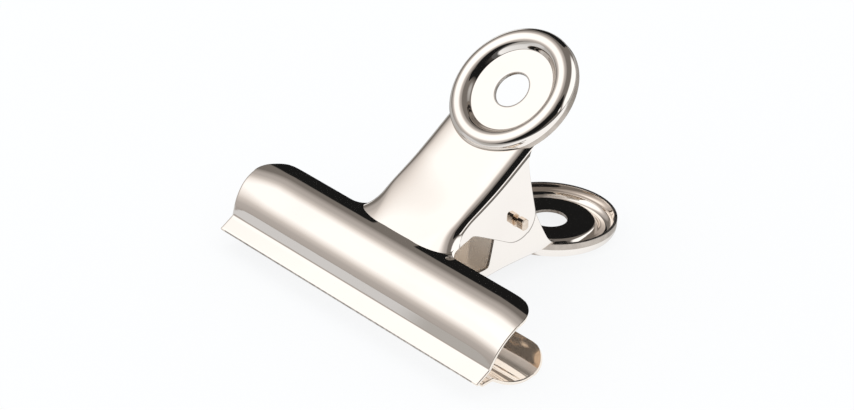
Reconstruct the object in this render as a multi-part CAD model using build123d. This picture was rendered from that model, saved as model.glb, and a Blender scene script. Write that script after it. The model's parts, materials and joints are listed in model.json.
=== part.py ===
from build123d import *
import math
import os

# A bulldog clip: two stamped sheet-metal arms, a crimped pivot pin through their ears, and a wire
# torsion spring wound round the pin. The arms are drawn closed and level, with X along the jaw, Y from
# the lips to the finger discs and the closed lips at Z = 0. The clip is then tipped to lie on its
# lower arm.

# Sheet and jaw, in millimetres and degrees. The jaw is a lip, a straight wall and a rolled barrel.
SHEET = 0.6
JAW_WIDTH = 75.0
JAW_END_BOW = 0.9
JAW_CORNER_RADIUS = 5.5
LIP_LENGTH = 3.54
LOWER_LIP_SETBACK = 1.0
LIP_SLOPE = 15.0
LIP_CLEARANCE = 0.1
WALL_LENGTH = 4.3
WALL_SLOPE = 44.0
BARREL_RADIUS = 8.9
BARREL_BACK_ANGLE = 38.0

# Neck: a crowned channel that leaves the barrel at the valley and flares where it meets it.
VALLEY_ANGLE = 28.0
NECK_SLOPE = 17.5
NECK_LENGTH = 21.2
NECK_HALF_WIDTH = 11.2
NECK_CROWN_RADIUS = 90.0
NECK_BEND_RADIUS = 1.9
FLARE_RADIUS = 7.0
FLARE_ANGLE = 55.0
FLANGE_DEPTH = 3.7
LOWER_FLANGE_DEPTH = 2.9

# Ears, folded down from the neck and rounded about the pin.
PIN_SETBACK = 35.1
EAR_RADIUS = 4.55
EAR_JAW_SLOPE = 47.0
LOWER_EAR_JAW_SLOPE = 60.0
EAR_DISC_LEAN = 6.0
EAR_JAW_FILLET = 3.0
EAR_DISC_FILLET = 1.5
EAR_CLEARANCE = 0.1

# Finger disc: a flat with a hanging hole, a half-round bead and a plain skirt.
DISC_TILT = 21.4
DISC_STEP = -0.33
HOLE_RADIUS = 3.65
BEAD_CENTRE_RADIUS = 11.2
BEAD_TUBE_RADIUS = 2.25
BEAD_HEIGHT = 2.0
BEAD_FOOT_FILLET = 0.4
SKIRT_DEPTH = 1.6

# Pivot pin, pinched flat outside each ear, with a groove and a faceted tip.
PIN_RADIUS = 1.25
PIN_CLEARANCE = 0.05
CRIMP_GAP = 0.15
CRIMP_SPREAD = 0.7
CRIMP_PINCH = 0.5
CRIMP_LENGTH = 0.9
CRIMP_CORNER = 0.4
GROOVE_DEPTH = 0.35
GROOVE_LENGTH = 0.35
TIP_LENGTH = 1.1
TIP_SIDES = 8
TIP_CHAMFER = 0.3

# Torsion spring: whole turns between the ears and two legs bearing on the undersides of the necks.
WIRE_DIAMETER = 1.0
COIL_CLEARANCE = 0.55
COIL_END_GAP = 1.5
TURN_GAP = 0.5
LEG_SETBACK = 1.6
LEG_CLEARANCE = 0.1

# Room for the shapes that cut others, past what they cut.
MARGIN = 5.0


def polar(length, degrees):
    """A step in a side view, given by its length and its slope."""
    return Vector(length * math.cos(math.radians(degrees)), length * math.sin(math.radians(degrees)))


def meet(first, first_slope, second, second_slope):
    """Where two lines in a side view cross, each given by a point and a slope."""
    along, other = polar(1, first_slope), polar(1, second_slope)
    gap = second - first
    cross = along.X * other.Y - along.Y * other.X
    return first + along * ((gap.X * other.Y - gap.Y * other.X) / cross)


# Key points of an arm's outer surface in the side view, worked out from the lip to the finger disc.
LIP_EDGE = Vector(0, LIP_CLEARANCE / 2) + polar(SHEET, LIP_SLOPE + 90)
CREASE = LIP_EDGE + polar(LIP_LENGTH, LIP_SLOPE)
WALL_TOP = CREASE + polar(WALL_LENGTH, WALL_SLOPE)
BARREL_CENTRE = WALL_TOP + polar(BARREL_RADIUS, WALL_SLOPE - 90)
VALLEY = BARREL_CENTRE + polar(BARREL_RADIUS, 90 - VALLEY_ANGLE)
NECK_END = VALLEY + polar(NECK_LENGTH, NECK_SLOPE)
DISC_RADIUS = BEAD_CENTRE_RADIUS + BEAD_TUBE_RADIUS
DISC_CENTRE = NECK_END + polar(DISC_RADIUS, DISC_TILT) + polar(DISC_STEP, DISC_TILT + 90)
PIN_CENTRE = Vector(PIN_SETBACK, 0)
BEAD_CENTRE_HEIGHT = BEAD_HEIGHT - BEAD_TUBE_RADIUS
LOWER_HALF_WIDTH = NECK_HALF_WIDTH - SHEET - EAR_CLEARANCE
COIL_RADIUS = PIN_RADIUS + COIL_CLEARANCE + WIRE_DIAMETER / 2
COIL_HALF_LENGTH = LOWER_HALF_WIDTH - SHEET - COIL_END_GAP - WIRE_DIAMETER / 2
COIL_TURNS = math.floor(2 * COIL_HALF_LENGTH / (WIRE_DIAMETER + TURN_GAP) - 0.5)


def tilted_plane(point, slope):
    """A plane at a side-view point: its X is the jaw's, its Y climbs at the slope, its Z is outward."""
    outward = polar(1, slope + 90)
    return Plane(origin=(0, point.X, point.Y), x_dir=(1, 0, 0), z_dir=(0, outward.X, outward.Y))


def jaw_section(lip_edge, depth):
    """The jaw's outer line from the lip to the barrel's back, moved inward by a depth."""
    inward = polar(depth, LIP_SLOPE - 90)
    wall_inward = polar(depth, WALL_SLOPE - 90)
    lip = lip_edge + inward
    crease = meet(lip, LIP_SLOPE, CREASE + wall_inward, WALL_SLOPE)
    radius = BARREL_RADIUS - depth
    wall_top = BARREL_CENTRE + polar(radius, WALL_SLOPE + 90)
    middle = BARREL_CENTRE + polar(radius, 90 + (WALL_SLOPE - BARREL_BACK_ANGLE) / 2)
    back = BARREL_CENTRE + polar(radius, 90 - BARREL_BACK_ANGLE)
    return lip, crease, wall_top, middle, back


def make_jaw(lip_setback):
    """The rolled jaw, with its bowed ends and rounded back corners."""
    lip_edge = LIP_EDGE + polar(lip_setback, LIP_SLOPE)
    lip, crease, wall_top, middle, back = jaw_section(lip_edge, 0)
    in_lip, in_crease, in_wall_top, in_middle, in_back = jaw_section(lip_edge, SHEET)
    outline = [
        Line(lip, crease),
        Line(crease, wall_top),
        ThreePointArc(wall_top, middle, back),
        Line(back, in_back),
        ThreePointArc(in_back, in_middle, in_wall_top),
        Line(in_wall_top, in_crease),
        Line(in_crease, in_lip),
        Line(in_lip, lip),
    ]
    half = JAW_WIDTH / 2
    sheet = extrude(Plane.YZ * make_face(Curve() + outline), half + JAW_END_BOW + MARGIN, both=True)

    def end_line(side):
        x = side * half
        bow = ThreePointArc(
            (x, CREASE.X), (x + side * JAW_END_BOW, (CREASE.X + back.X) / 2), (x, back.X)
        )
        return [Line((x, -MARGIN), (x, CREASE.X)), bow]

    plan = make_face(
        Curve()
        + end_line(1)
        + end_line(-1)
        + [Line((half, back.X), (-half, back.X)), Line((half, -MARGIN), (-half, -MARGIN))]
    )
    corners = plan.vertices().group_by(Axis.Y)[-1]
    plan = fillet(corners, JAW_CORNER_RADIUS)
    height = BARREL_RADIUS + MARGIN
    return sheet & extrude(plan, height, both=True)


def barrel_core():
    """The solid that the barrel's outer surface wraps, used to end the neck on the barrel."""
    return Plane.YZ * Pos(BARREL_CENTRE.X, BARREL_CENTRE.Y) * extrude(
        Circle(BARREL_RADIUS), JAW_WIDTH / 2, both=True
    )


def neck_block(half_width, depth):
    """A crowned bar with the neck's flared outline and bent edges, moved inward by a depth."""
    side = half_width - depth
    flare = FLARE_RADIUS + depth
    drop = flare * math.sin(math.radians(FLARE_ANGLE))
    spread = flare * (1 - math.cos(math.radians(FLARE_ANGLE)))
    run = BARREL_RADIUS * math.sin(math.radians(VALLEY_ANGLE)) + SHEET
    slant = run / math.tan(math.radians(FLARE_ANGLE))
    start = FLARE_RADIUS * math.sin(math.radians(FLARE_ANGLE))
    end = NECK_LENGTH + DISC_RADIUS / 2

    def flared_side(sign):
        turn = Vector(sign * side, start)
        foot = Vector(sign * (side + spread), start - drop)
        tail = foot + Vector(sign * run, -slant)
        return [
            Line((sign * side, end), turn),
            TangentArc(turn, foot, tangent=(0, -1)),
            Line(foot, tail),
        ], tail

    right, right_tail = flared_side(1)
    left, left_tail = flared_side(-1)
    ends = [Line(right_tail, left_tail), Line((side, end), (-side, end))]
    plan = make_face(Curve() + right + left + ends)
    reach = NECK_LENGTH + DISC_RADIUS + 2 * EAR_RADIUS
    bar = extrude(plan, reach, both=True)
    crown_radius = NECK_CROWN_RADIUS - depth
    crown = Plane.XZ * Pos(0, -NECK_CROWN_RADIUS) * extrude(Circle(crown_radius), reach, both=True)
    bar = bar & crown
    top_edges = [
        edge
        for edge in bar.edges()
        if edge.center().Z > -half_width
        and abs((edge @ 0).Y - (edge @ 1).Y) > SHEET
        and abs(edge.center().X) > SHEET
    ]
    bar = fillet(top_edges, NECK_BEND_RADIUS - depth)
    return tilted_plane(VALLEY, NECK_SLOPE) * bar


def ear_outline(flange_depth, ear_slope):
    """The side view that the neck's channel is trimmed to: flange, ear and the run up to the skirt."""
    flange = VALLEY + polar(flange_depth, NECK_SLOPE - 90)
    jaw_slope = 180 - ear_slope
    jaw_touch = PIN_CENTRE + polar(EAR_RADIUS, jaw_slope + 90)
    disc_slope = 90 - EAR_DISC_LEAN
    disc_touch = PIN_CENTRE + polar(EAR_RADIUS, -EAR_DISC_LEAN)
    skirt = DISC_CENTRE + polar(SKIRT_DEPTH, DISC_TILT - 90)
    reach = NECK_LENGTH + DISC_RADIUS
    root = meet(flange, NECK_SLOPE, jaw_touch, jaw_slope)
    tip = meet(jaw_touch, jaw_slope, disc_touch, disc_slope)
    throat = meet(disc_touch, disc_slope, skirt, DISC_TILT)
    start = flange - polar(reach, NECK_SLOPE)
    end = skirt + polar(reach, DISC_TILT)
    top = polar(reach, 90)
    face = make_face(Polyline(start, root, tip, throat, end, end + top, start + top, close=True))

    def corner(point):
        return face.vertices().sort_by_distance((point.X, point.Y, 0))[0]

    face = fillet(corner(root), EAR_JAW_FILLET)
    face = fillet(corner(tip), EAR_RADIUS)
    face = fillet(corner(throat), EAR_DISC_FILLET)
    return Plane.YZ * face


def make_disc():
    """The finger disc, turned about its own axis and set at its tilt."""
    inner_tube = BEAD_TUBE_RADIUS - SHEET
    foot = BEAD_CENTRE_RADIUS - math.sqrt(BEAD_TUBE_RADIUS**2 - BEAD_CENTRE_HEIGHT**2)
    under = BEAD_CENTRE_RADIUS - math.sqrt(inner_tube**2 - (BEAD_CENTRE_HEIGHT + SHEET) ** 2)
    skirt_inside = DISC_RADIUS - SHEET
    outline = [
        Line((HOLE_RADIUS, 0), (foot, 0)),
        ThreePointArc(
            (foot, 0), (BEAD_CENTRE_RADIUS, BEAD_HEIGHT), (DISC_RADIUS, BEAD_CENTRE_HEIGHT)
        ),
        Line((DISC_RADIUS, BEAD_CENTRE_HEIGHT), (DISC_RADIUS, -SKIRT_DEPTH)),
        Line((DISC_RADIUS, -SKIRT_DEPTH), (skirt_inside, -SKIRT_DEPTH)),
        Line((skirt_inside, -SKIRT_DEPTH), (skirt_inside, BEAD_CENTRE_HEIGHT)),
        ThreePointArc(
            (skirt_inside, BEAD_CENTRE_HEIGHT), (BEAD_CENTRE_RADIUS, BEAD_HEIGHT - SHEET), (under, -SHEET)
        ),
        Line((under, -SHEET), (HOLE_RADIUS, -SHEET)),
        Line((HOLE_RADIUS, -SHEET), (HOLE_RADIUS, 0)),
    ]
    section = make_face(Curve() + outline)
    section = fillet(section.vertices().sort_by_distance((foot, 0, 0))[0], BEAD_FOOT_FILLET)
    return tilted_plane(DISC_CENTRE, DISC_TILT) * revolve(Plane.XZ * section, Axis.Z)


def pin_hole():
    """The hole through both ears, with the pin's running clearance."""
    return Plane.YZ * Pos(PIN_CENTRE.X, PIN_CENTRE.Y) * extrude(
        Circle(PIN_RADIUS + PIN_CLEARANCE), NECK_HALF_WIDTH + MARGIN, both=True
    )


def disc_core(radius):
    """A long plug about the finger disc's axis."""
    plug = extrude(Circle(radius), NECK_LENGTH + DISC_RADIUS, both=True)
    return tilted_plane(DISC_CENTRE, DISC_TILT) * plug


def make_arm(half_width, lip_setback, flange_depth, ear_slope):
    """One whole stamping, drawn as the upper arm: jaw, neck with ears, and finger disc."""
    hollow = neck_block(half_width, SHEET)
    neck = neck_block(half_width, 0) - hollow
    neck = neck & extrude(ear_outline(flange_depth, ear_slope), half_width + DISC_RADIUS, both=True)
    neck = neck - barrel_core() - disc_core(DISC_RADIUS - SHEET / 2)
    disc = make_disc() - (hollow - disc_core(BEAD_CENTRE_RADIUS))
    jaw = make_jaw(lip_setback) - hollow
    return jaw + neck + disc - pin_hole()


def make_pin():
    """The pin, turned along X: shank, and a pinch, groove and faceted tip outside each ear."""
    shank_half = NECK_HALF_WIDTH + CRIMP_GAP
    pin = extrude(Circle(PIN_RADIUS), shank_half, both=True)
    pinched, spread = 2 * PIN_RADIUS - CRIMP_PINCH, 2 * PIN_RADIUS + CRIMP_SPREAD
    crimp = extrude(RectangleRounded(pinched, spread, CRIMP_CORNER), CRIMP_LENGTH)
    groove = extrude(Circle(PIN_RADIUS - GROOVE_DEPTH), GROOVE_LENGTH)
    tip = extrude(RegularPolygon(PIN_RADIUS, TIP_SIDES), TIP_LENGTH)
    tip = chamfer(tip.faces().sort_by(Axis.Z)[-1].edges(), TIP_CHAMFER)
    end = (
        Pos(0, 0, shank_half) * crimp
        + Pos(0, 0, shank_half + CRIMP_LENGTH) * groove
        + Pos(0, 0, shank_half + CRIMP_LENGTH + GROOVE_LENGTH) * tip
    )
    pin = pin + end + mirror(end, Plane.XY)
    return Plane.YZ * Pos(PIN_CENTRE.X, PIN_CENTRE.Y) * pin


def biarc(start, start_way, end, end_way):
    """Two arcs that leave one point along a way and reach another along its own."""
    span = end - start
    both = start_way + end_way
    squared = 4 - both.dot(both)
    half = span.dot(both)
    reach = (-half + math.sqrt(half**2 + squared * span.dot(span))) / squared
    joint = (start + start_way * reach + end - end_way * reach) / 2
    first = Edge.make_tangent_arc(start, start_way, joint)
    return [first, Edge.make_tangent_arc(joint, first % 1, end)]


def make_spring():
    """The torsion spring: one wire from the lower neck, round the pin and up to the upper neck."""
    crown_drop = NECK_CROWN_RADIUS - math.sqrt(NECK_CROWN_RADIUS**2 - COIL_HALF_LENGTH**2)
    depth = crown_drop + SHEET + WIRE_DIAMETER / 2 + LEG_CLEARANCE
    seat = NECK_END - polar(LEG_SETBACK, NECK_SLOPE) + polar(depth, NECK_SLOPE - 90) - PIN_CENTRE
    seat_angle = math.degrees(math.atan2(seat.Y, seat.X))
    leave = seat_angle + math.degrees(math.acos(COIL_RADIUS / seat.length))
    total = 360 * COIL_TURNS + 360 - 2 * leave
    climb = 2 * COIL_HALF_LENGTH / math.radians(total)

    def on_coil(turned):
        spot = polar(COIL_RADIUS, -leave - turned) + PIN_CENTRE
        way = polar(COIL_RADIUS, -leave - turned - 90)
        return (
            Vector(-COIL_HALF_LENGTH + climb * math.radians(turned), spot.X, spot.Y),
            Vector(climb, way.X, way.Y).normalized(),
        )

    steps = 2 * (COIL_TURNS + 1)
    stations = [on_coil(total * step / steps) for step in range(steps + 1)]
    edges = []
    for (start, start_way), (end, end_way) in zip(stations, stations[1:]):
        edges += biarc(start, start_way, end, end_way)
    leg_length = math.sqrt(seat.length**2 - COIL_RADIUS**2)
    first, first_way = stations[0]
    last, last_way = stations[-1]
    edges.insert(0, Edge.make_line(first - first_way * leg_length, first))
    edges.append(Edge.make_line(last, last + last_way * leg_length))
    path = Wire(edges)
    section = Plane(origin=path @ 0, z_dir=path % 0) * Circle(WIRE_DIAMETER / 2)
    print("spring wire", round(path.length, 2), "mm, least gap", round(wire_gap(path), 3), "mm")
    return sweep(section, path=path)


def wire_gap(path):
    """The least gap between stretches of the wire that are at least half a turn apart along it."""
    spacing = WIRE_DIAMETER / 4
    count = int(path.length / spacing)
    points = [path @ (step / count) for step in range(count + 1)]
    apart = int(math.pi * COIL_RADIUS / spacing)
    least = min(
        (points[i] - points[j]).length
        for i in range(len(points))
        for j in range(i + apart, len(points))
    )
    return least - WIRE_DIAMETER


def rest_tilt():
    """How far the closed clip tips to lie on the lower barrel and the far end of the lower bead."""
    bead = DISC_CENTRE + polar(BEAD_CENTRE_RADIUS, DISC_TILT) + polar(BEAD_CENTRE_HEIGHT, DISC_TILT + 90)
    span = bead - BARREL_CENTRE
    lean = math.degrees(math.asin((BARREL_RADIUS - BEAD_TUBE_RADIUS) / span.length))
    return math.degrees(math.atan2(span.Y, span.X)) - lean


upper_arm = make_arm(NECK_HALF_WIDTH, 0, FLANGE_DEPTH, EAR_JAW_SLOPE)
lower_arm = make_arm(LOWER_HALF_WIDTH, LOWER_LIP_SETBACK, LOWER_FLANGE_DEPTH, LOWER_EAR_JAW_SLOPE)
nodes = {
    "upper_arm": upper_arm,
    "lower_arm": mirror(lower_arm, Plane.XY),
    "pivot_pin": make_pin(),
    "torsion_spring": make_spring(),
}

# The clip lies on its lower arm, with the origin on the surface below the middle of its box.
tip_over = Rot(rest_tilt(), 0, 0)
box = Compound([tip_over * solid for solid in nodes.values()]).bounding_box()
settle = Pos(0, -box.center().Y, -box.min.Z) * tip_over

os.makedirs("parts", exist_ok=True)
for name, solid in nodes.items():
    export_step(settle * solid, f"parts/{name}.step")

pin_place = settle * Pos(0, PIN_CENTRE.X, PIN_CENTRE.Y)
print("rest tilt", round(rest_tilt(), 3))
print("pin axis at", tuple(round(value, 4) for value in pin_place.position))
print("box", box.size)
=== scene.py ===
import json
import math

import bmesh
import bpy
from mathutils import Matrix, Vector


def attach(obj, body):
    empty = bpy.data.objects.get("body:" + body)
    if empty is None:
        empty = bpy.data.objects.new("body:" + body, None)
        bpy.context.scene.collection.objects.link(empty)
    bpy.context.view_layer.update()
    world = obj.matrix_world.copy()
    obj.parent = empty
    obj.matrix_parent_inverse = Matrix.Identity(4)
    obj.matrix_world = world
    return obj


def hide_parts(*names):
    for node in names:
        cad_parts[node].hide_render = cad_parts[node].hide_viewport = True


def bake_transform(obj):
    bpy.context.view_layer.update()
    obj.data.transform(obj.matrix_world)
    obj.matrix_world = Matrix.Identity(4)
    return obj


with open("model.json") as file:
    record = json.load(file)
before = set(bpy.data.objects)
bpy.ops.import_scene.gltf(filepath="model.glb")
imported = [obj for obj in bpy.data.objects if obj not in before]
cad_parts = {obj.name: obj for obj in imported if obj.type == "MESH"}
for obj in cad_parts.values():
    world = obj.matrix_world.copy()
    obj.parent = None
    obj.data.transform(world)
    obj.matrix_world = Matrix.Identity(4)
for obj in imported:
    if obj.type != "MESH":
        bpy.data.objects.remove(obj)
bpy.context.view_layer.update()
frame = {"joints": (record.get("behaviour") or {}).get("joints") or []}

scene = bpy.context.scene
scene.view_settings.view_transform = "Standard"

# Camera: a long lens held above the right end of the jaw, looking down its length
# to the finger discs behind it.
camera_place = Vector((0.401559, -0.365392, 0.315826))
camera_right = Vector((0.65678, 0.75404, 0.00819))
camera_down = Vector((0.37218, -0.31468, -0.87319))
camera_forward = Vector((-0.65584, 0.57654, -0.48731))
camera_lens = bpy.data.cameras.new("view_of_clip")
camera_lens.sensor_width = 36.0
camera_lens.lens = 136.42
camera = bpy.data.objects.new("view_of_clip", camera_lens)
camera.matrix_world = Matrix.Translation(camera_place) @ Matrix(
    (camera_right, -camera_down, -camera_forward)
).transposed().to_4x4()
scene.collection.objects.link(camera)
scene.camera = camera


# Studio: a pale sheet of paper to lie on, one big soft light to the front left, white screens
# behind and to the right, and black flags that draw the dark lines on the plating. The paper's
# grey and dark fields are painted shade, a painted shadow under the clip among them, and are
# seen in the plating alone.
class Shade:
    """A socket in a node tree: arithmetic on it adds Math nodes, and node() adds any other node."""

    def __init__(self, tree, socket=None):
        self.tree = tree
        self.socket = socket

    def node(self, kind, settings=None, sockets=None, out=0):
        made = self.tree.nodes.new(kind)
        for key, value in (settings or {}).items():
            if key == "stops":
                ramp = made.color_ramp
                while len(ramp.elements) < len(value):
                    ramp.elements.new(0.5)
                for element, (place, tone) in zip(ramp.elements, value):
                    element.position = place
                    element.color = (*tone, 1.0)
            else:
                setattr(made, key, value)
        for key, value in (sockets or {}).items():
            if isinstance(value, Shade):
                self.tree.links.new(value.socket, made.inputs[key])
            else:
                made.inputs[key].default_value = value
        return Shade(self.tree, made.outputs[out] if made.outputs else None)

    def math(self, operation, first, second=0.0):
        return self.node("ShaderNodeMath", {"operation": operation}, {0: first, 1: second})

    def __add__(self, other):
        return self.math("ADD", self, other)

    __radd__ = __add__

    def __mul__(self, other):
        return self.math("MULTIPLY", self, other)

    __rmul__ = __mul__

    def __sub__(self, other):
        return self.math("SUBTRACT", self, other)

    def __rsub__(self, other):
        return self.math("SUBTRACT", other, self)

    def __truediv__(self, other):
        return self.math("DIVIDE", self, other)

    def __rtruediv__(self, other):
        return self.math("DIVIDE", other, self)

    def __pow__(self, other):
        return self.math("POWER", self, other)

    def __rpow__(self, other):
        return self.math("POWER", other, self)

    def soft(self, low, high):
        """0 below low, 1 above high and an eased step between."""
        return self.node(
            "ShaderNodeMapRange",
            {"interpolation_type": "SMOOTHSTEP"},
            {"Value": self, "From Min": low, "From Max": high},
        )


def empty_tree(owner):
    """The node tree of a world or a material, emptied."""
    owner.use_nodes = True
    owner.node_tree.nodes.clear()
    return Shade(owner.node_tree)


def mix_colour(shade, factor, first, second):
    """The first colour where the factor is 0, the second where it is 1."""
    return shade.node(
        "ShaderNodeMix",
        {"data_type": "RGBA", "clamp_factor": True},
        {0: factor, 6: first, 7: second},
        out=2,
    )


tent = bpy.data.worlds.new("tent")
sky = empty_tree(tent)
way = sky.node("ShaderNodeTexCoord", out="Generated")
LEAST_DEPTH, FAR_OFF = 0.02, 50.0


def off_card(azimuth, elevation, half_width, half_height, squareness, roll=0.0):
    """How far a direction lies from the middle of a card of light or dark: 1 is the card's edge."""
    turn, lift = math.radians(azimuth), math.radians(elevation)
    ahead = Vector(
        (math.cos(lift) * math.cos(turn), math.cos(lift) * math.sin(turn), math.sin(lift))
    )
    level = Vector((-math.sin(turn), math.cos(turn), 0.0))
    right = Matrix.Rotation(math.radians(roll), 3, ahead) @ level
    depth, across, upward = (
        sky.node("ShaderNodeVectorMath", {"operation": "DOT_PRODUCT"}, {0: way, 1: axis}, "Value")
        for axis in (ahead, right, ahead.cross(right))
    )
    near = depth.math("MAXIMUM", depth, LEAST_DEPTH)
    reach = 0.0
    for part, half in ((across, half_width), (upward, half_height)):
        share = part / near / math.tan(math.radians(half))
        reach = share.math("ABSOLUTE", share) ** squareness + reach
    behind = depth.math("LESS_THAN", depth, LEAST_DEPTH)
    return reach ** (1.0 / squareness) + behind * FAR_OFF


black = (0.010, 0.010, 0.010, 1.0)
screen_white = (1.12, 1.12, 1.12, 1.0)
RAMP_REACH = 4.0
soft_light = off_card(-125.0, 46.3, 23.4, 20.8, 2.0)
walls = sky.node(
    "ShaderNodeValToRGB",
    {
        "stops": [
            (0.125, (1.20, 1.20, 1.20)),
            (0.200, (1.12, 1.12, 1.12)),
            (0.285, (1.12, 1.12, 1.11)),
            (0.355, (0.90, 0.86, 0.83)),
            (0.425, (0.63, 0.59, 0.56)),
            (0.525, (0.46, 0.43, 0.41)),
            (0.650, (0.43, 0.40, 0.38)),
            (0.900, (0.18, 0.164, 0.150)),
        ]
    },
    {"Fac": soft_light / RAMP_REACH},
)
for colour, edge, card in (
    (black, 0.30, (-50.1, 14.0, 57.9, 21.6, 3.0, 28.7)),
    (black, 0.08, (-10.0, 31.5, 14.0, 22.0, 5.0)),
    (black, 0.06, (129.2, 18.5, 16.3, 18.0, 6.0)),
    (black, 0.06, (126.0, 34.0, 12.0, 12.0, 2.0)),
    (screen_white, 0.20, (55.7, 17.0, 37.6, 24.6, 3.0)),
    (screen_white, 0.20, (152.0, 1.0, 9.0, 9.0, 3.0)),
    (screen_white, 0.40, (7.0, 14.0, 3.0, 4.5, 2.0)),
):
    walls = mix_colour(sky, off_card(*card).soft(1 - edge, 1 + edge), colour, walls)
is_glossy = sky.node("ShaderNodeLightPath", out="Is Glossy Ray")
around = mix_colour(sky, is_glossy, (1.0, 1.0, 1.0, 1.0), walls)
lit = sky.node("ShaderNodeBackground", None, {"Color": around, "Strength": 1.0})
sky.node("ShaderNodeOutputWorld", None, {"Surface": lit})
scene.world = tent


def add_piece(name, bm):
    """Makes a finished drawing an object of its own."""
    mesh = bpy.data.meshes.new(name)
    bm.to_mesh(mesh)
    bm.free()
    piece = bpy.data.objects.new(name, mesh)
    scene.collection.objects.link(piece)
    return piece


SWEEP_HALF_WIDTH = 3.0
UNDER_CLIP = (118.0, 40.0, 0.0)
SEEN_WHITE, MIRRORED_WHITE = 0.82, 0.9
bm = bmesh.new()
bmesh.ops.create_grid(bm, x_segments=1, y_segments=1, size=SWEEP_HALF_WIDTH)
sweep = add_piece("pale_sweep", bm)
paper = bpy.data.materials.new("pale_paper")
sheet = empty_tree(paper)
place = sheet.node("ShaderNodeTexCoord", out="Object")
by_camera = sheet.node("ShaderNodeLightPath", out="Is Camera Ray")
by_mirror = sheet.node("ShaderNodeLightPath", out="Is Glossy Ray")
ahead_left, ahead_right, behind_left, left, across = (
    sheet.node("ShaderNodeVectorMath", {"operation": "DOT_PRODUCT"}, {0: place, 1: axis}, "Value")
    for axis in (
        (-0.707, -0.707, 0.0),
        (0.819, -0.574, 0.0),
        (-0.643, 0.766, 0.0),
        (-0.966, -0.259, 0.0),
        (0.766, -0.643, 0.0),
    )
)
# A painted shadow on the paper right under the clip, seen in the plating alone.
under = sheet.node("ShaderNodeVectorMath", {"operation": "MULTIPLY"}, {0: place, 1: UNDER_CLIP})
under = sheet.node("ShaderNodeVectorMath", {"operation": "LENGTH"}, {0: under}, "Value")
close_by = behind_left.soft(0.0, 0.01) * left.soft(0.02, 0.04) * left.soft(0.066, 0.058)
seen = (1.0, 1.01, 1.02, 1.0)
# Painted shade on the paper that only mirror rays see: grey and dark fields round the clip.
for field, colour in (
    (ahead_left.soft(0.0, 0.08), (0.60, 0.605, 0.615, 1.0)),
    (ahead_left.soft(0.05, 0.10) * across.soft(0.024, 0.036), (0.385, 0.375, 0.362, 1.0)),
    (ahead_right.soft(0.16, 0.26), black),
    (behind_left.soft(0.0, 0.03), (0.42, 0.415, 0.405, 1.0)),
    (close_by, (0.05, 0.047, 0.043, 1.0)),
    (under.soft(1.0, 0.84), (0.42, 0.38, 0.35, 1.0)),
):
    seen = mix_colour(sheet, by_mirror * field, seen, colour)
matte = sheet.node("ShaderNodeBsdfDiffuse", None, {"Color": (0.94, 0.94, 0.935, 1.0)})
glow = sheet.node("ShaderNodeEmission", None, {"Color": seen, "Strength": 1.0})
share = by_camera * SEEN_WHITE + by_mirror * MIRRORED_WHITE
covered = sheet.node("ShaderNodeMixShader", None, {0: share, 1: matte, 2: glow})
sheet.node("ShaderNodeOutputMaterial", None, {"Surface": covered})
sweep.data.materials.append(paper)

# Lower arm: one stamping of thin steel sheet, rolled into the jaw, folded down at the sides into
# ears for the pin and raised into a finger disc, then nickel plated all over.
MM, MICRON = 0.001, 1e-6
MERGE = 1e-4
SHEET = 0.6
EDGE_ROUND, SHARP_ANGLE = 0.2, 60.0
PLATED, SHEARED, INNER, IRONED, BLOOM = range(5)
JAW_HALF_WIDTH = 37.5
ROOT_STRIP, WEB_STRIP, END_ZONE = 11.4, 3.2, 20.0
END_RIM, END_ROUND, LIP_PLATED = 30.0, 36.0, 2.5
JAW_END_BOW = 0.9
JAW_CORNER = 5.5
LIP_EDGE = Vector((0.0, -0.155, 0.630))
CREASE_RADIUS = 0.5
WALL_LENGTH, WALL_SLOPE = 1.95, 51.5
BARREL = Vector((0.0, 12.540, -1.869))
FRONT_RADIUS, FRONT_START = 11.0, 17.6
BARREL_RADIUS, BARREL_BACK, BARREL_STRAIGHT = 8.9, 31.8, 17.4
END_DROOP, END_DROOP_LENGTH = 0.58, 8.0
DROOP_FRONT_SHARE, DROOP_FRONT, DROOP_TOP_START, DROOP_TOP_END = 0.25, 4.0, 6.0, 4.0
ROOT_STRAIGHT, ROOT_INNER, ROOT_OUTER = 10.0, 3.0, 8.5
WEB_INNER, WEB_OUTER, WEB_REACH, WEB_FADE = 12.0, 15.5, 15.0, (8.0, 11.0)
DENT_PLACE, DENT_RADIUS, DENT_DEPTH = (13.6, 30.5), 1.0, 0.2
VALLEY_ANGLE = 28.0
NECK_SLOPE, NECK_LENGTH = 17.5, 21.2
NECK_OVERLAP, THROAT_SHARE = 1.6 * SHEET, 0.97
FOOT_START, FOOT_END, FOOT_PINCH = -1.0, 9.0, 0.3
NECK_RISE, RISE_END = 0.95, 16.0
CROWN, CROWN_FOOT, CROWN_ROUND, CROWN_EDGE_SLOPE = 0.30, 0.08, 0.35, 3.3
SIDE_BEND, BEND_GAIN, BEND_GAIN_RUN, BEND_FOOT = 2.4, 0.7, (6.0, 20.0), 1.9
BEND_SPREAD, SPREAD_ANGLE, LEAST_TURN = 0.25, 52.0, 0.05
FLANGE_FOOT, FLANGE_RUN = 0.4, (1.0, 6.5)
FLARE_RADIUS, FLARE_ANGLE = 7.0, 55.0
DISC_TILT, DISC_STEP = 21.4, -0.33
HOLE_RADIUS = 3.65
BEAD_CENTRE, BEAD_TUBE, BEAD_RISE = 11.2, 2.24, -0.25
BEAD_SLOPE, BEAD_FOOT, FLAT_RISE = 56.0, 0.25, 0.22
SKIRT_DEPTH, SKIRT_LEAD, IRONED_START, CHANNEL_START = 1.6, 0.06, 0.04, 0.08
PIN_SETBACK = 35.1
EAR_RADIUS, EAR_DISC_LEAN = 4.55, 6.0
EAR_JAW_FILLET, EAR_DISC_FILLET, LEAST_EAR = 1.1, 2.8, 0.05
REST_TILT = 18.253


def side(length, slope):
    """A step in the arm's side view, along Y and up Z."""
    turn = math.radians(slope)
    return Vector((0.0, length * math.cos(turn), length * math.sin(turn)))


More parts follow.
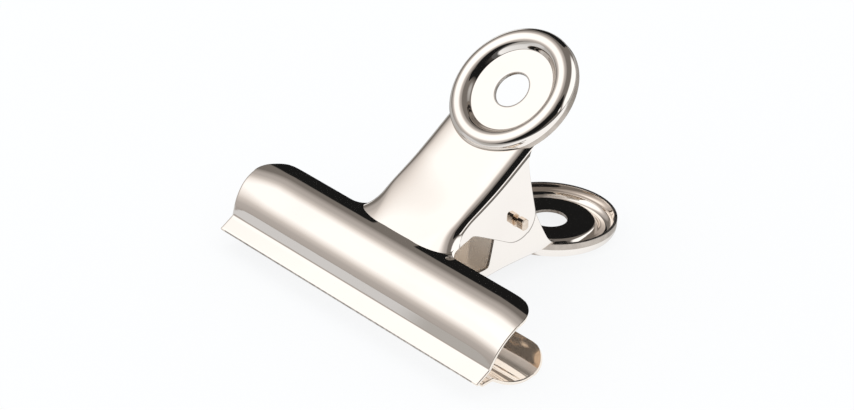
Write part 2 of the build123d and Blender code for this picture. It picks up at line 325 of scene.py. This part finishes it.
def carry_on(bm, tip, steps, along=Vector(), centre=Vector(), turn=0.0):
    """Draws a line on from its tip: straight along a step, or turned about a centre."""
    drawn = bmesh.ops.spin(
        bm,
        geom=[tip],
        cent=centre,
        axis=(1, 0, 0),
        dvec=along / steps,
        angle=math.radians(turn),
        steps=steps,
    )
    return next(item for item in drawn["geom_last"] if isinstance(item, bmesh.types.BMVert))


front = BARREL + side(BARREL_RADIUS - FRONT_RADIUS, 90 + FRONT_START)
wall_top = front + side(FRONT_RADIUS, 90 + WALL_SLOPE)
crease = wall_top - side(WALL_LENGTH, WALL_SLOPE)
barrel_back = BARREL + side(BARREL_RADIUS, 90 - BARREL_BACK)
valley = BARREL + side(BARREL_RADIUS, 90 - VALLEY_ANGLE)
disc_radius = BEAD_CENTRE + BEAD_TUBE
disc_centre = (
    valley
    + side(NECK_LENGTH, NECK_SLOPE)
    + side(disc_radius, DISC_TILT)
    + side(DISC_STEP, DISC_TILT + 90)
)
pin_centre = Vector((0.0, PIN_SETBACK, 0.0))


def jaw_half_width(y):
    """Half the jaw's width at a distance back from the lips: bowed ends and round back corners."""
    middle, reach = (crease.y + barrel_back.y) / 2, (barrel_back.y - crease.y) / 2
    bow = JAW_END_BOW * max(0.0, 1 - ((y - middle) / reach) ** 2)
    bow_radius = (reach**2 + JAW_END_BOW**2) / (2 * JAW_END_BOW)
    corner_y = barrel_back.y - JAW_CORNER
    corner_x = (
        JAW_HALF_WIDTH
        + JAW_END_BOW
        - bow_radius
        + math.sqrt((bow_radius - JAW_CORNER) ** 2 - (corner_y - middle) ** 2)
    )
    if y <= corner_y:
        return JAW_HALF_WIDTH + bow
    corner = math.sqrt(max(0.0, JAW_CORNER**2 - (y - corner_y) ** 2))
    return min(JAW_HALF_WIDTH + bow, corner_x + corner)


def ease(low, high, value):
    """0 below low, 1 above high and an eased step between."""
    share = min(max((value - low) / (high - low), 0.0), 1.0)
    return share * share * (3 - 2 * share)


def neck_arch(run):
    """Rise, crown, side bend and pinch of the neck's cross section, rounder towards its foot."""
    foot = 1 - ease(FOOT_START, FOOT_END, run)
    rise = NECK_RISE * (1 - ease(FOOT_START, RISE_END, run))
    bend = SIDE_BEND + BEND_GAIN * ease(*BEND_GAIN_RUN, run) + BEND_FOOT * foot
    return rise, CROWN - CROWN_FOOT * foot, bend, FOOT_PINCH * foot


def roll_jaw(bm, lip_setback, half_width):
    """Half of the jaw's outer face: its side line drawn across from the middle to one end."""
    lip = crease - LIP_EDGE
    lip_slope = math.degrees(math.atan2(lip.z, lip.y))
    cut = CREASE_RADIUS * math.tan(math.radians(WALL_SLOPE - lip_slope) / 2)
    tip = bmesh.ops.create_vert(bm, co=LIP_EDGE + side(lip_setback, lip_slope))["vert"][0]
    tip = carry_on(bm, tip, 6, along=side(lip.length - lip_setback - cut, lip_slope))
    tip = carry_on(
        bm, tip, 5, centre=tip.co + side(CREASE_RADIUS, lip_slope + 90), turn=WALL_SLOPE - lip_slope
    )
    tip = carry_on(bm, tip, 5, along=side(WALL_LENGTH - cut, WALL_SLOPE))
    tip = carry_on(bm, tip, 24, centre=front, turn=FRONT_START - WALL_SLOPE)
    tip = carry_on(bm, tip, 40, centre=BARREL, turn=-FRONT_START - BARREL_BACK)
    line = bm.verts[:] + bm.edges[:]
    end_strip = JAW_HALF_WIDTH - ROOT_STRIP - WEB_STRIP
    for reach, columns in ((ROOT_STRIP, 24), (WEB_STRIP, 22), (end_strip, 50)):
        line = bmesh.ops.spin(
            bm,
            geom=line,
            cent=(0, 0, 0),
            axis=(1, 0, 0),
            dvec=(reach / columns, 0, 0),
            angle=0.0,
            steps=columns,
        )["geom_last"]
    for vert in bm.verts:
        x, y = vert.co.x, vert.co.y
        half = jaw_half_width(y)
        if x > END_ZONE:
            x = END_ZONE + (x - END_ZONE) * (half - END_ZONE) / (JAW_HALF_WIDTH - END_ZONE)
        if y > BARREL.y:
            angle = math.degrees(math.atan2(y - BARREL.y, vert.co.z - BARREL.z))
            if x < WEB_OUTER:
                share = min((WEB_OUTER - x) / (WEB_OUTER - WEB_INNER), 1.0)
                web = WEB_REACH * (1 - math.sqrt(1 - share**2)) * ease(*WEB_FADE, x)
                angle *= 1 + web / BARREL_BACK
            root = 1 - ease(ROOT_INNER, ROOT_OUTER, x)
            straight = BARREL_STRAIGHT + (ROOT_STRAIGHT - BARREL_STRAIGHT) * root
            beyond = BARREL_RADIUS * math.radians(max(angle - straight, 0.0))
            vert.co = BARREL + side(BARREL_RADIUS, 90 - min(angle, straight))
            vert.co += side(beyond, -straight)
        vert.co.x = 0
        droop = END_DROOP * max((x - JAW_HALF_WIDTH) / END_DROOP_LENGTH + 1, 0.0) ** 2
        at_front = ease(crease.y, crease.y + DROOP_FRONT, y)
        on_top = ease(BARREL.y - DROOP_TOP_START, BARREL.y + DROOP_TOP_END, y)
        droop *= DROOP_FRONT_SHARE * at_front + (1 - DROOP_FRONT_SHARE) * on_top
        vert.co -= (vert.co - front).normalized() * droop
        vert.co.x = x
    along, outward = side(1, NECK_SLOPE), side(1, NECK_SLOPE + 90)
    under_neck = []
    for face in bm.faces:
        middle = face.calc_center_median()
        run, depth = (middle - valley).dot(along), (valley - middle).dot(outward)
        rise, crown, bend, pinch = neck_arch(run)
        level = half_width - pinch - bend
        if middle.x < level + bend and middle.y > BARREL.y:
            cover = rise - crown * min(middle.x / level, 1.0) ** 4
            cover += math.sqrt(bend**2 - max(middle.x - level, 0.0) ** 2) - bend
            if -depth < cover - NECK_OVERLAP:
                under_neck.append(face)
    bmesh.ops.delete(bm, geom=under_neck, context="FACES")


def dent_jaw(bm):
    """One shallow round mark of the die beside the neck's root."""
    middle = BARREL + side(BARREL_RADIUS, 90 - BARREL_STRAIGHT)
    middle += side(BARREL_RADIUS * math.radians(DENT_PLACE[1] - BARREL_STRAIGHT), -BARREL_STRAIGHT)
    middle.x = DENT_PLACE[0]
    for vert in bm.verts:
        dent = max(1 - ((vert.co - middle).length / DENT_RADIUS) ** 2, 0.0)
        vert.co -= side(DENT_DEPTH * dent**2, 90 - BARREL_STRAIGHT)


def press_neck(bm, half_width, flange_depth, ear_slope):
    """Half of the neck's outer face: a crowned strip bent down at the side into flange and ear."""
    crown_columns, bend_columns, ear_columns, rows = 14, 18, 14, 90
    columns = crown_columns + bend_columns + ear_columns
    flare_run = FLARE_RADIUS * math.sin(math.radians(FLARE_ANGLE))
    along, outward = side(1, NECK_SLOPE), side(1, NECK_SLOPE + 90)

    def flat(point):
        """A side-view point in the neck's own run and rise from the valley."""
        return (point - valley).dot(along), (point - valley).dot(outward)

    barrel_run, barrel_rise = flat(BARREL)
    disc_run, disc_rise = flat(disc_centre)
    pin_run, pin_rise = flat(pin_centre)
    jaw_touch = flat(pin_centre + side(EAR_RADIUS, 270 - ear_slope))
    disc_touch = flat(pin_centre + side(EAR_RADIUS, -EAR_DISC_LEAN))
    jaw_grade = math.tan(math.radians(ear_slope + NECK_SLOPE))
    disc_grade = math.tan(math.radians(90 - EAR_DISC_LEAN - NECK_SLOPE))
    skirt_tilt = math.radians(DISC_TILT - NECK_SLOPE)

    def ear_depth(run):
        """How far down the flange and ear reach at a run along the neck."""
        if run < jaw_touch[0]:
            depth = -jaw_touch[1] - (jaw_touch[0] - run) * jaw_grade
        elif run < disc_touch[0]:
            depth = -pin_rise + math.sqrt(EAR_RADIUS**2 - (run - pin_run) ** 2)
        else:
            depth = -disc_touch[1] - (run - disc_touch[0]) * disc_grade
        if run < pin_run:
            fuller = FLANGE_FOOT + (1 - FLANGE_FOOT) * ease(*FLANGE_RUN, run)
            least, corner = flange_depth * fuller, EAR_JAW_FILLET
        else:
            least = SKIRT_DEPTH - disc_rise - (run - disc_run) * math.tan(skirt_tilt)
            corner = EAR_DISC_FILLET
        return least + (depth - least + math.hypot(depth - least, corner)) / 2

    def section(column, run):
        """Half width and rise of a column at a run along the neck."""
        rise, crown, bend, pinch = neck_arch(run)
        if run >= flare_run:
            flare = 0.0
        elif run >= 0:
            flare = FLARE_RADIUS - math.sqrt(FLARE_RADIUS**2 - (flare_run - run) ** 2)
        else:
            flare = FLARE_RADIUS * (1 - math.cos(math.radians(FLARE_ANGLE)))
            flare -= run * math.tan(math.radians(FLARE_ANGLE))
        level = half_width - bend
        lean = math.atan(CROWN_EDGE_SLOPE * crown / (level - pinch))
        root = rise - crown - bend * math.cos(lean)
        depth = ear_depth(run)
        if column <= crown_columns:
            share = column / crown_columns
            fall = CROWN_ROUND * share**2 + (1 - CROWN_ROUND) * share**4
            return (level + bend * math.sin(lean) - pinch) * share, rise - crown * fall
        past_crown = column - crown_columns
        turned = math.acos(min(max((-depth - root) / bend, 0.0), math.cos(lean + LEAST_TURN)))
        roll = lean + (turned - lean) * min(past_crown / bend_columns, 1.0)
        reach = max(depth + root, LEAST_EAR) * max((past_crown - bend_columns) / ear_columns, 0.0)
        fuller = flare + pinch + BEND_SPREAD * (bend - SIDE_BEND)
        spread = fuller * ease(lean, math.radians(SPREAD_ANGLE), roll) - pinch
        return (
            level + bend * math.sin(roll) + spread + reach * math.cos(roll),
            root + bend * math.cos(roll) - reach * math.sin(roll),
        )

    grid = bmesh.ops.create_grid(bm, x_segments=columns, y_segments=rows, size=1.0)["verts"]
    low = Vector((min(v.co.x for v in grid), min(v.co.y for v in grid), 0))
    high = Vector((max(v.co.x for v in grid), max(v.co.y for v in grid), 0))
    bury, settling_rounds = SHEET / 2, 6
    for vert in grid:
        column = round((vert.co.x - low.x) / (high.x - low.x) * columns)
        share = (vert.co.y - low.y) / (high.y - low.y)
        start, end = 0.0, NECK_LENGTH
        for _ in range(settling_rounds):
            rise = section(column, start)[1]
            reach = (BARREL_RADIUS - bury) ** 2 - (rise - barrel_rise) ** 2
            start = barrel_run + math.sqrt(max(reach, 0.0))
            x, rise = section(column, end)
            level = -math.sqrt(max((disc_radius - bury) ** 2 - x**2, 0.0))
            level -= (rise - disc_rise) * math.sin(skirt_tilt)
            end = disc_run + level / math.cos(skirt_tilt)
        run = start + (end - start) * share
        x, rise = section(column, run)
        vert.co = valley + along * run + outward * rise
        vert.co.x = x


def raise_disc(bm, half_width):
    """The finger disc's outer face, turned about its own axis: flat, round bead and skirt."""
    crown = Vector((0, BEAD_CENTRE, BEAD_RISE))
    shoulder = crown + side(BEAD_TUBE, BEAD_SLOPE + 90)
    bank = (shoulder.z - FLAT_RISE) / math.sin(math.radians(BEAD_SLOPE))
    bank -= BEAD_FOOT * math.tan(math.radians(BEAD_SLOPE / 2))
    foot = shoulder - side(bank, BEAD_SLOPE) + side(BEAD_FOOT, BEAD_SLOPE + 90)
    tip = bmesh.ops.create_vert(bm, co=(0, HOLE_RADIUS, FLAT_RISE))["vert"][0]
    tip = carry_on(bm, tip, 6, along=Vector((0, foot.y - HOLE_RADIUS, 0)))
    tip = carry_on(bm, tip, 10, centre=foot, turn=BEAD_SLOPE)
    tip = carry_on(bm, tip, 3, along=side(bank, BEAD_SLOPE))
    tip = carry_on(bm, tip, 36, centre=crown, turn=-90 - BEAD_SLOPE)
    tip = carry_on(bm, tip, 1, along=Vector((0, 0, -SKIRT_LEAD)))
    tip = carry_on(bm, tip, 5, along=Vector((0, 0, SKIRT_LEAD - BEAD_RISE - SKIRT_DEPTH)))
    bmesh.ops.spin(
        bm,
        geom=bm.verts[:] + bm.edges[:],
        cent=(0, 0, 0),
        axis=(0, 0, 1),
        angle=math.tau,
        steps=180,
        use_merge=True,
    )
    bmesh.ops.remove_doubles(bm, verts=bm.verts[:], dist=MERGE)
    rise, crown, bend, pinch = neck_arch(NECK_LENGTH)
    in_channel = []
    for face in bm.faces:
        middle = face.calc_center_median()
        sunk = min(max(rise - crown - DISC_STEP - middle.z, 0.0), bend)
        channel = half_width - bend + math.sqrt(bend**2 - (bend - sunk) ** 2) - SHEET
        if middle.z < BEAD_RISE - CHANNEL_START and abs(middle.x) < channel and middle.y < 0:
            in_channel.append(face)
    bmesh.ops.delete(bm, geom=in_channel, context="FACES")
    for face in bm.faces:
        on_skirt = face.calc_center_median().z < BEAD_RISE - IRONED_START
        face.material_index = IRONED if on_skirt else PLATED
    place = Matrix.Translation(disc_centre) @ Matrix.Rotation(math.radians(DISC_TILT), 4, "X")
    bmesh.ops.transform(bm, matrix=place, verts=bm.verts[:])


def cut_corners(bm, edges, offset, segments):
    """Rounds or chamfers edges, and gives back the faces that this makes."""
    return bmesh.ops.bevel(
        bm,
        geom=edges,
        offset=offset,
        offset_type="OFFSET",
        segments=segments,
        profile=0.5,
        affect="EDGES",
        clamp_overlap=True,
        material=-1,
    )["faces"]


def thicken(bm, inside, round_edge):
    """Gives a drawn face the sheet's thickness, inward. The cut edges that the test picks are
    rounded and the others stay crisp; all are sheared grey, apart from the jaw's plated ends."""
    bmesh.ops.recalc_face_normals(bm, faces=bm.faces[:])
    if max(bm.faces, key=lambda face: face.calc_center_median().z).normal.z < 0:
        bmesh.ops.reverse_faces(bm, faces=bm.faces[:])
    # rim_share marks the cut edges, for the dark line of painted shade along them.
    rim_share = bm.verts.layers.float.new("rim_share")
    for vert in bm.verts:
        vert[rim_share] = float(vert.is_boundary)
    outer = bm.faces[:]
    bmesh.ops.solidify(bm, geom=outer, thickness=SHEET)
    for face in set(bm.faces).difference(outer):
        behind_lip = face.calc_center_median().y > crease.y + LIP_PLATED
        face.material_index = inside if behind_lip else PLATED
    sharp = {edge for edge in bm.edges if edge.calc_face_angle(0.0) > math.radians(SHARP_ANGLE)}
    for face in bm.faces:
        if sum(edge in sharp for edge in face.edges) >= 2:
            face.material_index = SHEARED if abs(face.calc_center_median().x) < END_RIM else INNER
    worn = [edge for edge in sharp if round_edge(edge)]
    for edge in sharp.difference(worn):
        edge.smooth = False
    for face in cut_corners(bm, worn, EDGE_ROUND, 3):
        face.material_index = SHEARED if abs(face.calc_center_median().x) < END_ROUND else INNER


def mirror_half(bm):
    """Adds the other half of a drawing and closes the seam."""
    bmesh.ops.mirror(bm, geom=bm.verts[:] + bm.edges[:] + bm.faces[:], axis="X", merge_dist=MERGE)
    bmesh.ops.remove_doubles(bm, verts=bm.verts[:], dist=MERGE)


def add_to(whole, bm):
    """Adds a finished shell to the arm."""
    loose = bpy.data.meshes.new("shell")
    bm.to_mesh(loose)
    bm.free()
    whole.from_mesh(loose)
    bpy.data.meshes.remove(loose)


def to_row(bm, flip):
    """Moves a drawing in millimetres, level and closed, to where the clip lies, in metres."""
    pin = Vector(frame["joints"][0]["pos_m"])
    settle = (
        Matrix.Translation(pin)
        @ Matrix.Rotation(math.radians(REST_TILT), 4, "X")
        @ Matrix.Diagonal((MM, MM, MM, 1))
        @ Matrix.Translation(-pin_centre)
        @ Matrix.Diagonal((1, 1, -1 if flip else 1, 1))
    )
    bmesh.ops.transform(bm, matrix=settle, verts=bm.verts[:])
    if flip:
        bmesh.ops.reverse_faces(bm, faces=bm.faces[:])


def stamp_arm(name, half_width, lip_setback, flange_depth, ear_slope, flip):
    """A whole arm as one object: jaw, neck with ears and finger disc, each given its thickness."""
    whole = bmesh.new()
    bm = bmesh.new()
    roll_jaw(bm, lip_setback, half_width)
    mirror_half(bm)
    dent_jaw(bm)
    corner = barrel_back.y - JAW_CORNER
    thicken(bm, INNER, lambda edge: all(vert.co.y < corner for vert in edge.verts))
    add_to(whole, bm)
    bm = bmesh.new()
    press_neck(bm, half_width, flange_depth, ear_slope)
    mirror_half(bm)
    throat = valley.y + THROAT_SHARE * NECK_LENGTH
    thicken(bm, BLOOM, lambda edge: all(vert.co.y < throat for vert in edge.verts))
    add_to(whole, bm)
    bm = bmesh.new()
    raise_disc(bm, half_width)
    thicken(bm, PLATED, lambda edge: True)
    add_to(whole, bm)
    to_row(whole, flip)
    for face in whole.faces:
        face.smooth = True
    arm = add_piece(name, whole)
    even = arm.modifiers.new("even_shading", "WEIGHTED_NORMAL")
    even.keep_sharp = True
    return arm


def grain(shade, where, scale, detail=2.0, stretch=(1.0, 1.0, 1.0)):
    """Noise from 0 to 1 at a number of waves to the metre, drawn out along an axis if wanted."""
    drawn = shade.node("ShaderNodeMapping", None, {"Vector": where, "Scale": stretch})
    return shade.node(
        "ShaderNodeTexNoise", None, {"Vector": drawn, "Scale": scale, "Detail": detail}
    )


def metal_finish(name, colours, polish, relief, bare=1.0):
    """A metal: its colour between two tones, its roughness and its relief in microns, all by place;
    bare is the share of the surface that no dull film covers."""
    material = bpy.data.materials.new(name)
    shade = empty_tree(material)
    where = shade.node("ShaderNodeTexCoord", out="Object")
    share, first, second = colours(shade, where)
    rough = polish(shade, where)
    bumps = shade.node("ShaderNodeBump", None, {"Height": relief(shade, where), "Distance": MICRON})
    metal = shade.node(
        "ShaderNodeBsdfPrincipled",
        None,
        {
            "Base Color": mix_colour(shade, share, first, second),
            "Metallic": bare,
            "Roughness": rough,
            "Normal": bumps,
        },
    )
    shade.node("ShaderNodeOutputMaterial", None, {"Surface": metal})
    return material


PIT_SCALE, PIT_EDGE, PIT_RARITY = 160.0, (0.010, 0.024), 0.72
# How far in from a cut edge the painted shade reaches, and how dark it is.
RIM_EDGE, RIM_DARKNESS = (0.60, 0.78), 0.9


def pits(shade, where):
    """Pin pricks in the plating, some tenth of a millimetre across and centimetres apart."""
    spread = {"Vector": where, "Scale": PIT_SCALE}
    near = shade.node("ShaderNodeTexVoronoi", None, spread)
    chosen = shade.node("ShaderNodeTexVoronoi", None, spread, "Color")
    chosen = shade.node("ShaderNodeSeparateColor", None, {0: chosen})
    return (1.0 - near.soft(*PIT_EDGE)) * chosen.math("GREATER_THAN", chosen, PIT_RARITY)


def painted_edge_shade(shade):
    """A dark line painted along every cut edge: painted shade for the shadow where the sheets meet.
    """
    edge = shade.node("ShaderNodeAttribute", {"attribute_name": "rim_share"}, out="Fac")
    return edge.soft(*RIM_EDGE) * RIM_DARKNESS


# Bright nickel is a warm mirror: the die's slow swell, orange peel, rolling lines, haze and pits.
# Its colour also carries painted shade: a dark line along every cut edge.
plating = metal_finish(
    "nickel_plate",
    lambda shade, where: (
        grain(shade, where, 70.0, 3.0).soft(0.42, 0.78) * 0.04
        + pits(shade, where) * 0.2
        + painted_edge_shade(shade),
        (0.955, 0.905, 0.855, 1.0),
        (0.34, 0.31, 0.28, 1.0),
    ),
    lambda shade, where: 0.026 + grain(shade, where, 110.0, 4.0).soft(0.35, 0.75) * 0.035,
    lambda shade, where: grain(shade, where, 150.0, 1.0) * 9.0
    + grain(shade, where, 1100.0) * 0.7
    + grain(shade, where, 60.0, 3.0, (1.0, 70.0, 70.0)) * 0.25
    - pits(shade, where) * 14.0,
)
# The sheared edge is thinly plated over torn grain, so that it is greyer and duller than the faces.
sheared = metal_finish(
    "sheared_edge",
    lambda shade, where: (
        grain(shade, where, 1400.0, 3.0).soft(0.35, 0.65),
        (0.56, 0.525, 0.49, 1.0),
        (0.36, 0.33, 0.30, 1.0),
    ),
    lambda shade, where: 0.22 + grain(shade, where, 700.0).soft(0.3, 0.7) * 0.18,
    lambda shade, where: grain(shade, where, 2600.0, 3.0) * 9.0,
)
# Inside the jaws the plating bath reaches badly: the nickel is thin there, and mirrors browner.
inner_plating = metal_finish(
    "thin_inner_nickel",
    lambda shade, where: (
        grain(shade, where, 260.0, 4.0).soft(0.32, 0.70),
        (0.94, 0.87, 0.79, 1.0),
        (0.91, 0.82, 0.73, 1.0),
    ),
    lambda shade, where: 0.035 + grain(shade, where, 180.0, 3.0).soft(0.3, 0.7) * 0.03,
    lambda shade, where: grain(shade, where, 900.0, 3.0) * 0.3,
    bare=0.9,
)
# Under the necks no wheel polishes, and the nickel keeps the bath's tan bloom.
bloom = metal_finish(
    "tan_inner_bloom",
    lambda shade, where: (
        grain(shade, where, 260.0, 4.0).soft(0.32, 0.70),
        (0.97, 0.87, 0.76, 1.0),
        (0.93, 0.82, 0.70, 1.0),
    ),
    lambda shade, where: 0.06 + grain(shade, where, 180.0, 3.0).soft(0.3, 0.7) * 0.05,
    lambda shade, where: grain(shade, where, 900.0, 3.0),
    bare=0.2,
)
# The disc's skirt is ironed by the drawing die, so that it is greyer and duller than the bead.
# The skirt's colour also carries painted shade along its cut edge.
ironed = metal_finish(
    "ironed_skirt",
    lambda shade, where: (
        grain(shade, where, 500.0, 3.0).soft(0.30, 0.70) * 0.5 + painted_edge_shade(shade),
        (0.62, 0.56, 0.50, 1.0),
        (0.44, 0.39, 0.35, 1.0),
    ),
    lambda shade, where: 0.22 + grain(shade, where, 300.0, 3.0).soft(0.3, 0.7) * 0.10,
    lambda shade, where: grain(shade, where, 1200.0, 2.0) * 2.5,
)
finishes = (plating, sheared, inner_plating, ironed, bloom)
lower_arm = stamp_arm(
    "lower_arm_sheet",
    half_width=10.5,
    lip_setback=1.0,
    flange_depth=2.9,
    ear_slope=60.0,
    flip=True,
)
for finish in finishes:
    lower_arm.data.materials.append(finish)
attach(lower_arm, "lower_body")
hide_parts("lower_arm")

# Upper arm: the same stamping, a sheet's thickness wider at the ears so that it straddles the lower
# one, with deeper flanges and a longer lip.
upper_arm = stamp_arm(
    "upper_arm_sheet",
    half_width=11.2,
    lip_setback=0.0,
    flange_depth=3.7,
    ear_slope=47.0,
    flip=False,
)
for finish in finishes:
    upper_arm.data.materials.append(finish)
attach(upper_arm, "upper_body")
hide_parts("upper_arm")

# Torsion spring: ten close turns of hard drawn steel wire round the pin, with a straight leg at
# each end that lies under the neck of one arm and pushes the jaws together.
WIRE_RADIUS, WIRE_SIDES = 0.5, 16
COIL_RADIUS, COIL_HALF_LENGTH, COIL_TURNS, TURN_STEPS = 2.3, 7.9, 10, 28
LEG_SETBACK, LEG_DEPTH = 1.6, 1.547
LEG_TIP, LEG_TIP_LENGTH = ((0.12, 0.86), (0.08, 0.55)), 0.2


def wind_spring(bm):
    """The wire's round section led through the coil, then drawn out straight along both legs."""
    seat = valley + side(NECK_LENGTH - LEG_SETBACK, NECK_SLOPE)
    seat = seat + side(LEG_DEPTH, NECK_SLOPE - 90) - pin_centre
    leave = math.degrees(math.atan2(seat.z, seat.y) + math.acos(COIL_RADIUS / seat.length))
    leg = math.sqrt(seat.length**2 - COIL_RADIUS**2)
    turned = 360 * COIL_TURNS + 360 - 2 * leave
    steps = TURN_STEPS * COIL_TURNS
    section = bmesh.ops.create_circle(bm, radius=WIRE_RADIUS, segments=WIRE_SIDES)["verts"]
    start = (
        Matrix.Translation(pin_centre - Vector((COIL_HALF_LENGTH, 0, 0)))
        @ Matrix.Rotation(math.radians(-leave), 4, "X")
        @ Matrix.Translation((0, COIL_RADIUS, 0))
    )
    bmesh.ops.transform(bm, matrix=start, verts=section)
    first = bm.edges[:]
    wound = bmesh.ops.spin(
        bm,
        geom=section + first,
        cent=pin_centre,
        axis=(1, 0, 0),
        dvec=(2 * COIL_HALF_LENGTH / steps, 0, 0),
        angle=math.radians(-turned),
        steps=steps,
    )
    last = [item for item in wound["geom_last"] if isinstance(item, bmesh.types.BMEdge)]
    for ring, way in ((first, side(1, 90 - leave)), (last, side(1, leave - 90))):
        for length, spread in ((leg - LEG_TIP_LENGTH, 1.0), *LEG_TIP):
            drawn = bmesh.ops.extrude_edge_only(bm, edges=ring)["geom"]
            ends = [item for item in drawn if isinstance(item, bmesh.types.BMVert)]
            ring = [item for item in drawn if isinstance(item, bmesh.types.BMEdge)]
            ring = [edge for edge in ring if all(vert in ends for vert in edge.verts)]
            middle = sum((vert.co for vert in ends), Vector()) / len(ends)
            for vert in ends:
                vert.co = middle + (vert.co - middle) * spread + way * length
        bmesh.ops.contextual_create(bm, geom=ring)
    bmesh.ops.remove_doubles(bm, verts=bm.verts[:], dist=MERGE)
    bmesh.ops.recalc_face_normals(bm, faces=bm.faces[:])


def round_the_pin(shade, where):
    """Place on the wire, along the pin and out from it, so that marks follow the turns."""
    kind, off_pin = "ShaderNodeVectorMath", (0.0, 1.0, 1.0)
    from_pin = shade.node(kind, {"operation": "SUBTRACT"}, {0: where, 1: coil_middle})
    out = shade.node(kind, {"operation": "MULTIPLY"}, {0: from_pin, 1: off_pin})
    out = shade.node(kind, {"operation": "LENGTH"}, {0: out}, "Value")
    along = shade.node("ShaderNodeSeparateXYZ", None, {0: from_pin}, "X")
    return shade.node("ShaderNodeCombineXYZ", None, {"X": along, "Y": out})


coil_middle = Vector(frame["joints"][0]["pos_m"])
wire_steel = metal_finish(
    "drawn_spring_wire",
    lambda shade, where: (
        grain(shade, round_the_pin(shade, where), 4200.0, 3.0).soft(0.30, 0.70),
        (0.70, 0.66, 0.61, 1.0),
        (0.52, 0.47, 0.42, 1.0),
    ),
    lambda shade, where: 0.16 + grain(shade, where, 500.0, 3.0).soft(0.3, 0.7) * 0.14,
    lambda shade, where: grain(shade, round_the_pin(shade, where), 5200.0) * 3.0,
)
bm = bmesh.new()
wind_spring(bm)
to_row(bm, False)
for face in bm.faces:
    face.smooth = True
spring = add_piece("spring_wire", bm)
spring.data.materials.append(wire_steel)
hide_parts("torsion_spring")
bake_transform(spring)

# Pivot pin: a length of bright steel wire through all four ears and the coil, squeezed flat outside
# the ears so that it can't slip out, and nicked where the shears cropped it.
PIN_RADIUS, PIN_HALF_LENGTH, PIN_SIDES = 1.25, 11.35, 48
GROOVE_RADIUS, GROOVE_LENGTH, GROOVE_OVERLAP = 0.6, 0.65, 0.2
TIP_LENGTH, TIP_ACROSS, TIP_HIGH, TIP_TURN = 1.55, 1.65, 2.3, -20.0
TIP_CORNER, TIP_CHAMFER = 0.42, 0.14


def length_of_pin(bm, start, end, radius):
    """A capped round length of the pin, from start to end along X."""
    rod = bmesh.ops.create_cone(
        bm,
        cap_ends=True,
        segments=PIN_SIDES,
        radius1=radius,
        radius2=radius,
        depth=abs(end - start),
    )["verts"]
    place = Matrix.Translation(((start + end) / 2, 0, 0))
    place @= Matrix.Rotation(math.radians(90), 4, "Y")
    bmesh.ops.transform(bm, matrix=place, verts=rod)


bm = bmesh.new()
length_of_pin(bm, -PIN_HALF_LENGTH, PIN_HALF_LENGTH, PIN_RADIUS)
for way in (-1, 1):
    neck = PIN_HALF_LENGTH + GROOVE_LENGTH
    tip = neck + TIP_LENGTH
    groove_start, groove_end = PIN_HALF_LENGTH - GROOVE_OVERLAP, neck + GROOVE_OVERLAP
    length_of_pin(bm, way * groove_start, way * groove_end, GROOVE_RADIUS)
    block = bmesh.ops.create_cube(bm, size=1.0)["verts"]
    place = (
        Matrix.Translation((way * (neck + tip) / 2, 0, 0))
        @ Matrix.Rotation(math.radians(TIP_TURN), 4, "X")
        @ Matrix.Diagonal((TIP_LENGTH, TIP_ACROSS, TIP_HIGH, 1))
    )
    bmesh.ops.transform(bm, matrix=place, verts=block)
    edges = {edge for vert in block for edge in vert.link_edges}
    lengthwise = [edge for edge in edges if abs(edge.verts[0].co.x - edge.verts[1].co.x) > MERGE]
    cut_corners(bm, lengthwise, TIP_CORNER, 1)
    at_end = {vert for vert in bm.verts if abs(vert.co.x - way * tip) < MERGE}
    cut_corners(bm, [edge for edge in bm.edges if at_end.issuperset(edge.verts)], TIP_CHAMFER, 2)
bmesh.ops.translate(bm, vec=pin_centre, verts=bm.verts[:])
to_row(bm, False)
pin_steel = metal_finish(
    "cropped_pin_steel",
    lambda shade, where: (
        grain(shade, where, 900.0, 3.0, (6.0, 1.0, 1.0)).soft(0.30, 0.70),
        (0.84, 0.74, 0.64, 1.0),
        (0.70, 0.59, 0.49, 1.0),
    ),
    lambda shade, where: 0.09 + grain(shade, where, 800.0, 3.0).soft(0.3, 0.7) * 0.08,
    lambda shade, where: grain(shade, where, 1500.0, 2.0, (5.0, 1.0, 1.0)) * 1.5,
)
pin = add_piece("pivot_pin_steel", bm)
pin.data.materials.append(pin_steel)
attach(pin, "lower_body")
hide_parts("pivot_pin")
